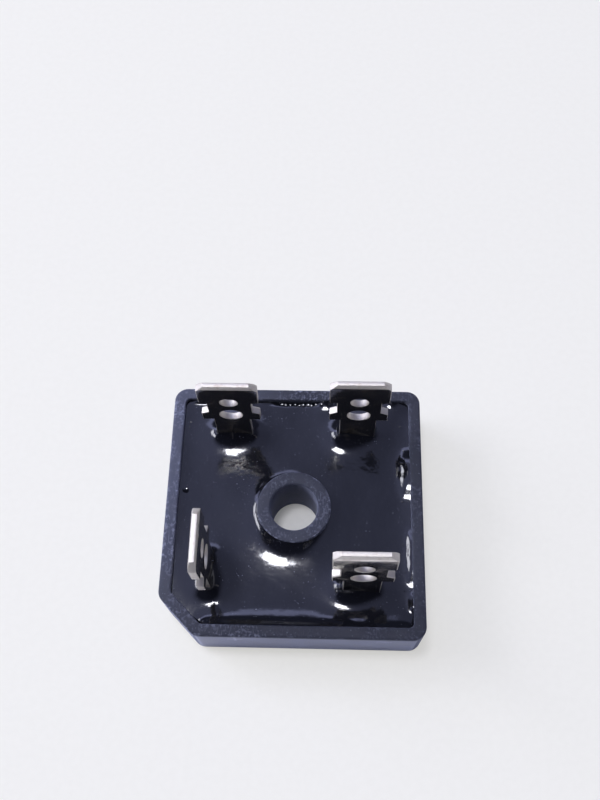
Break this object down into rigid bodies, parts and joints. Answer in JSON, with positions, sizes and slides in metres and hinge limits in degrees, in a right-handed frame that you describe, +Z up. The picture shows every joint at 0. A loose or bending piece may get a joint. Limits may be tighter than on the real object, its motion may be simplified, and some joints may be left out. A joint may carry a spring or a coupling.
{
  "type": "bridge rectifier",
  "caption": "Square potted bridge rectifier on an aluminium base, with a screw hole through its middle and push-on tabs standing out of the potting.",
  "frame": {"origin": "centre of the base plate's underside, on the axis of the screw hole", "axes": "+Z up along the tabs; -Y is the marked side of the case, with the cut corner and the plus tab at -X, -Y"},
  "size_m": [0.0286, 0.0286, 0.0199],
  "materials": {
    "case_plastic": "moulded, dark slate, lightly scuffed",
    "aluminium": "blanked sheet, mottled satin",
    "insulation": "cured filled resin",
    "potting_epoxy": "cast epoxy, glossy near-black",
    "tinned_brass": "bright tin plate on stamped brass",
    "silicon": "passivated silicon",
    "solder": "soft solder"
  },
  "bodies": {
    "root": {"case": "case_plastic", "mounting_sleeve": "case_plastic", "base_plate": "aluminium", "insulating_layer": "insulation", "potting": "potting_epoxy", "terminal_plus": "tinned_brass", "terminal_minus": "tinned_brass", "terminal_ac_1": "tinned_brass", "terminal_ac_2": "tinned_brass", "diode_ac1_plus": "silicon", "diode_ac2_plus": "silicon", "diode_minus_ac1": "silicon", "diode_minus_ac2": "silicon", "solder_joints": "solder"}
  },
  "joints": []
}
